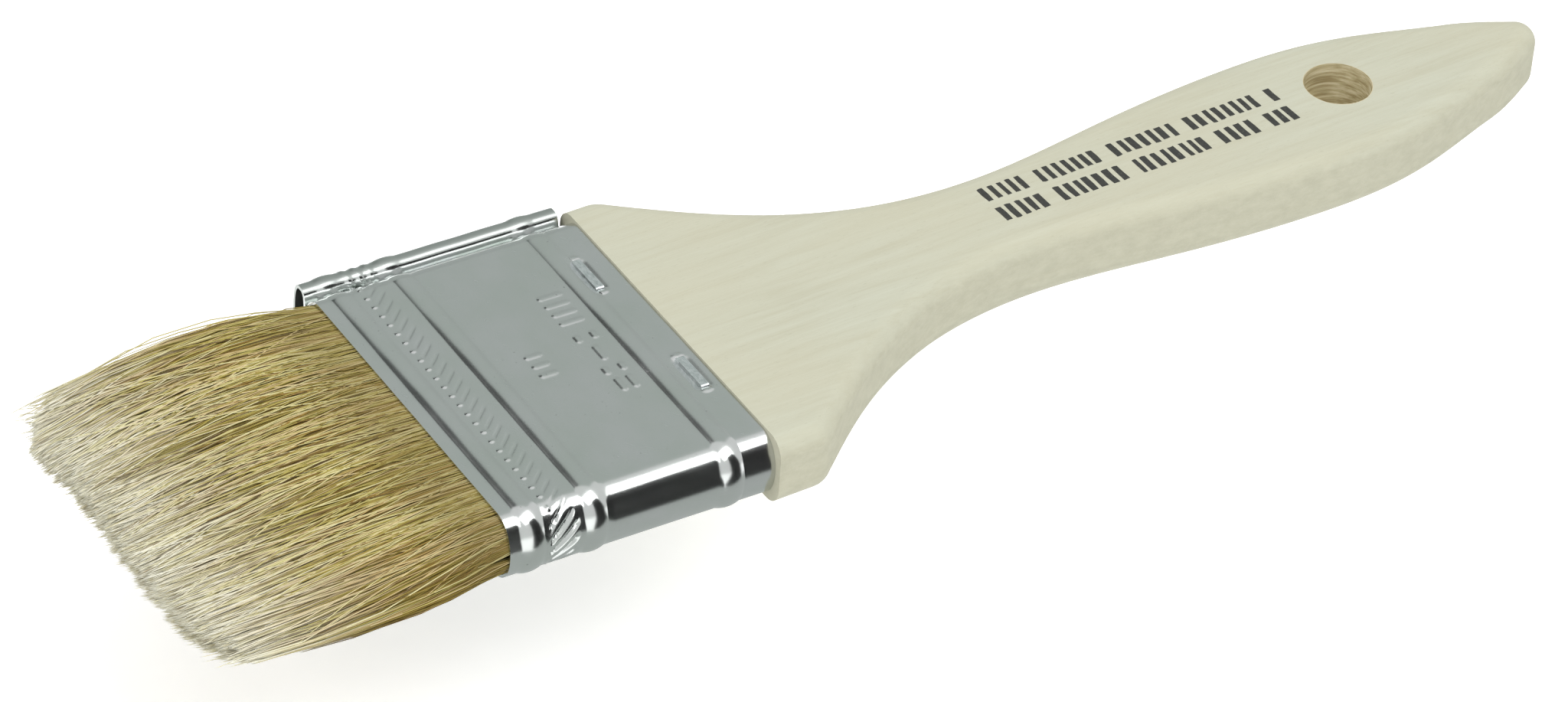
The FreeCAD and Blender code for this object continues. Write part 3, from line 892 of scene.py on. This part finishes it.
def strand_mesh(name, lines, radii, tones):
    """Every strand as one mesh, with its UV layer."""
    count = len(lines)
    turn = np.arange(STRAND_SIDES) * 2 * math.pi / STRAND_SIDES
    circle = np.stack([np.cos(turn), np.zeros(STRAND_SIDES), np.sin(turn)], axis=1)
    tube = lines[:, :-1, None, :] + radii[:, :-1, None, None] * circle[None, None]
    points = np.concatenate([tube.reshape(count, -1, 3), lines[:, -1:, :]], axis=1)
    per_strand = points.shape[1]

    faces, uv = strand_pattern()
    corners = np.concatenate(faces)
    all_corners = (corners[None, :] + np.arange(count)[:, None] * per_strand).ravel()
    all_sizes = np.tile([len(face) for face in faces], count)
    starts = np.concatenate([[0], np.cumsum(all_sizes)[:-1]])

    mesh = bpy.data.meshes.new(name)
    mesh.vertices.add(count * per_strand)
    mesh.vertices.foreach_set("co", (points.reshape(-1, 3) * MM).astype(np.float32).ravel())
    mesh.loops.add(len(all_corners))
    mesh.loops.foreach_set("vertex_index", all_corners.astype(np.int32))
    mesh.polygons.add(len(all_sizes))
    mesh.polygons.foreach_set("loop_start", starts.astype(np.int32))
    mesh.polygons.foreach_set("use_smooth", [True] * len(all_sizes))
    layer = mesh.uv_layers.new(name="OFBake")
    strand_uv = np.tile(uv, (count, 1, 1))
    strand_uv[:, :, 0] = (strand_uv[:, :, 0] + tones[:, None]) / TONES
    layer.data.foreach_set("uv", strand_uv.astype(np.float32).ravel())
    mesh.update(calc_edges=True)
    mesh.validate()
    return mesh


def make_bristles(material):
    """Two pieces for each row of bristle."""
    share = np.clip(np.array(STRAND_RINGS) / STRAND_RINGS[-1], 0, 1)
    taper = np.interp(share, (0.0, 0.6, 0.9, 0.99, 1.0), (1.0, 1.0, 1.0, 0.75, 0.0))
    plan = (("front_a", 1, 11), ("front_b", 1, 12), ("back_a", -1, 13), ("back_b", -1, 14))
    for label, row, seed in plan:
        strands = draw_strands(np.random.default_rng(seed), STRANDS_PER_PIECE)
        rings = [strand_ring(strands, row, out, t) for out, t in zip(STRAND_RINGS, share)]
        radii = strands.radius[:, None] * taper[None, :]
        name = "bristles_" + label
        obj = link_new(name, strand_mesh(name, np.stack(rings, axis=1), radii, strands.tone))
        obj.data.materials.append(material)
        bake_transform(obj)
        side = label.split("_")[0]
        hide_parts("bristles_" + side, "bristle_roots_" + side)


# ---------------------------------------------------------------- handle

def stroke_outline(rng, x, y, width, half):
    """One stamped stroke seen from above, with its corners a little off."""
    outline = []
    for u, v in ((-1, -1), (0, -1.02), (1, -1), (1.03, 0), (1, 1), (0, 1.02), (-1, 1), (-1.03, 0)):
        jitter_x, jitter_y = rng.normal(0, 0.035, 2)
        outline.append((x + v * half + jitter_x, y + u * width / 2 + jitter_y))
    return outline


def ink_outlines(rng):
    """Two rows of strokes in groups of uneven length, in the straight handle's own frame."""
    outlines = []
    for x, tall, (start, end) in INK_ROWS:
        y = start
        in_group = 0
        group = int(rng.integers(4, 8))
        while y < end:
            width = float(rng.uniform(0.62, 0.98))
            half = tall / 2 * float(rng.uniform(0.93, 1.03))
            outlines.append(stroke_outline(rng, x, y, width, half))
            in_group += 1
            y += width + INK_GAP
            if in_group == group:
                in_group, group = 0, int(rng.integers(4, 9))
                y += INK_GROUP_GAP
    return outlines


def make_ink(material, yaw):
    """Plain stamped strokes, with no lettering, on the handle's front."""
    top = HANDLE_HIGH[2] + INK_PROUD
    pivot_y = MOUTH + FERRULE_LENGTH
    points, faces = [], []
    for outline in ink_outlines(np.random.default_rng(21)):
        size, base = len(outline), len(points)
        for level in (top, top - INK_DEPTH):
            for x, y in outline:
                along = y - FERRULE_LENGTH
                turned_x = x * math.cos(yaw) - along * math.sin(yaw)
                turned_y = pivot_y + x * math.sin(yaw) + along * math.cos(yaw)
                points.append((turned_x, turned_y, level))
        upper = range(base, base + size)
        lower = range(base + size, base + 2 * size)
        faces.append(tuple(reversed(upper)))
        faces.append(tuple(lower))
        for k in range(size):
            after = (k + 1) % size
            faces.append((upper[k], upper[after], lower[after], lower[k]))
    obj = new_object("ink_strokes", points, faces, smooth=False)
    obj.data.materials.append(material)
    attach(obj, "brush")


def dress_nodes(materials):
    """Better materials on the CAD nodes that stay."""
    for node, material in materials.items():
        mesh = frame["nodes"][node].data
        mesh.materials.clear()
        mesh.materials.append(material)


# ---------------------------------------------------------------- studio

def staging(name, points, faces, material):
    """A part of the studio, from points in metres."""
    mesh = bpy.data.meshes.new(name)
    mesh.from_pydata(points, [], faces)
    mesh.materials.append(material)
    obj = link_new(name, mesh)
    return obj


def only_seen_by(obj, ray):
    """Hide an object from every kind of ray but one, and let it cast no shadow."""
    for kind in ("camera", "diffuse", "glossy", "transmission", "shadow"):
        setattr(obj, "visible_" + kind, kind == ray)


def rectangle(half_x, half_y, z=0.0):
    return [(-half_x, -half_y, z), (half_x, -half_y, z), (half_x, half_y, z), (-half_x, half_y, z)]


def face_towards(obj, place, target):
    obj.location = place
    obj.rotation_mode = "QUATERNION"
    obj.rotation_quaternion = (Vector(target) - Vector(place)).to_track_quat("Z", "Y")


def card(name, centre, size, towards, strength, colour):
    """A flat panel facing a point, which shapes what the metal reflects and nothing else."""
    glow = glow_material(name, colour, strength)
    obj = staging(name, rectangle(size[0] / 2, size[1] / 2), [(0, 1, 2, 3)], glow)
    face_towards(obj, centre, towards)
    only_seen_by(obj, "glossy")


def soft_light(name, place, size, power):
    """A rectangular area light that points at the brush: a light shines backwards along its own Z."""
    data = bpy.data.lights.new(name, "AREA")
    data.shape = "RECTANGLE"
    data.size, data.size_y = size
    data.energy = power
    face_towards(link_new(name, data), place, 2 * Vector(place))


def make_world():
    world = bpy.data.worlds.new("studio")
    bpy.context.scene.world = world
    world.use_nodes = True
    background = world.node_tree.nodes["Background"]
    background.inputs["Color"].default_value = (*WHITE, 1.0)
    background.inputs["Strength"].default_value = WORLD_STRENGTH


def make_backdrop():
    """White walls round the floor that only the camera sees, so that low views show no horizon."""
    low = rectangle(FLOOR_REACH, FLOOR_REACH, FLOOR_LEVEL)
    high = rectangle(FLOOR_REACH, FLOOR_REACH, FLOOR_LEVEL + FLOOR_REACH)
    walls = [(k, (k + 1) % 4, (k + 1) % 4 + 4, k + 4) for k in range(4)]
    only_seen_by(staging("backdrop", low + high, walls, glow_material("backdrop", WHITE, 1.0)), "camera")


def make_dark_path(low):
    """A dark wedge on the floor with a dark wall at its end, along the way that the ferrule's +X side
    reflects the camera. The beads' slopes look past it on both sides."""
    heading, spread = math.radians(33.7), math.radians(17.0)
    near, far, top = 0.062, 0.75, 0.83
    points = []
    for y, angle in ((MOUTH, heading - spread), (MOUTH + FERRULE_LENGTH, heading + spread)):
        for distance, z in ((near, low), (far, low), (far, top)):
            x = HALF_WIDTH * MM + distance * math.cos(angle)
            points.append((x, y * MM + distance * math.sin(angle), z))
    glow = glow_material("dark_path", WHITE, BLACK_CARD)
    only_seen_by(staging("dark_path", points, [(0, 1, 4, 3), (1, 2, 5, 4)], glow), "glossy")


def make_reflections(low):
    """What the tin reflects: grey over its faces, dark past that for the beads' slopes, grey beyond the -X
    side, dark beyond the +X side and soft grey under the brush."""
    middle = Vector((0.0, -0.045, 0.005))
    over = Vector((-1.0, 0.66, 0.92))
    aside = (middle - over).cross(Vector((0.0, 0.0, 1.0))).normalized()
    near_edge, meeting, far_edge, height = -0.40, 0.47, 1.65, 1.3
    strips = (("grey_card", near_edge, meeting, 0.56), ("dark_card", meeting, far_edge, BLACK_CARD))
    for name, start, end, strength in strips:
        step = aside * (start + end) / 2
        card(name, over + step, (end - start, height), middle + step, strength, COOL_WHITE)
    card("grey_wall", (-0.95, 0.50, 0.25), (1.3, 0.62), (0.0, 0.50, 0.25), 0.5, COOL_WHITE)
    make_dark_path(low)
    card("grey_floor", (0.015, 0.05, low), (0.13, 0.6), (0.015, 0.05, 5.0), 0.55, (0.95, 1.0, 0.97))


def make_studio():
    staging("ground", rectangle(FLOOR_REACH, FLOOR_REACH, FLOOR_LEVEL), [(0, 1, 2, 3)], floor_material())
    make_backdrop()
    make_world()
    soft_light("key", (0.75, 0.32, 1.6), (1.5, 1.2), 17.2)
    soft_light("fill", (0.25, -1.30, 0.75), (1.2, 0.9), 6.0)
    make_reflections(FLOOR_LEVEL + 0.002)


def make_camera():
    """A long lens from the side, looking down along the brush, slightly rolled."""
    data = bpy.data.cameras.new("camera")
    data.lens = CAMERA_LENS
    data.sensor_width = CAMERA_SENSOR
    camera = link_new("camera", data)
    look = (CAMERA_AIM - CAMERA_PLACE).to_track_quat("-Z", "Y").to_matrix()
    camera.rotation_mode = "QUATERNION"
    camera.rotation_quaternion = (look @ Matrix.Rotation(CAMERA_ROLL, 3, "Z")).to_quaternion()
    camera.location = CAMERA_PLACE
    bpy.context.scene.camera = camera


def hang_hole():
    mount = next(m for m in frame["record"]["mounts"] if m["name"] == "hang_hole")
    return np.array(mount["pos_m"]) / MM, mount["dims"]["r_mm"]


def main():
    yaw = math.radians(HANDLE_YAW)
    softwood = ((0.36, 0.27, 0.14), (0.55, 0.44, 0.27), 0.8, (0.2, 1.2, 1.0))
    amber = ((0.20, 0.10, 0.03), (0.42, 0.25, 0.08), 0.25, (0.4, 0.4, 0.4))
    wire = staple_material()
    dress_nodes({
        "handle": wood_material(*hang_hole(), yaw),
        "spacer_plug": hidden_material("plug_wood", *softwood),
        "resin_setting": hidden_material("resin", *amber),
        **{node: wire for node in STAPLE_NODES}})
    make_ferrule(tin_material())
    make_bristles(bristle_material())
    make_ink(ink_material(), yaw)
    make_studio()
    make_camera()
    bpy.context.scene.view_settings.view_transform = "Standard"


main()
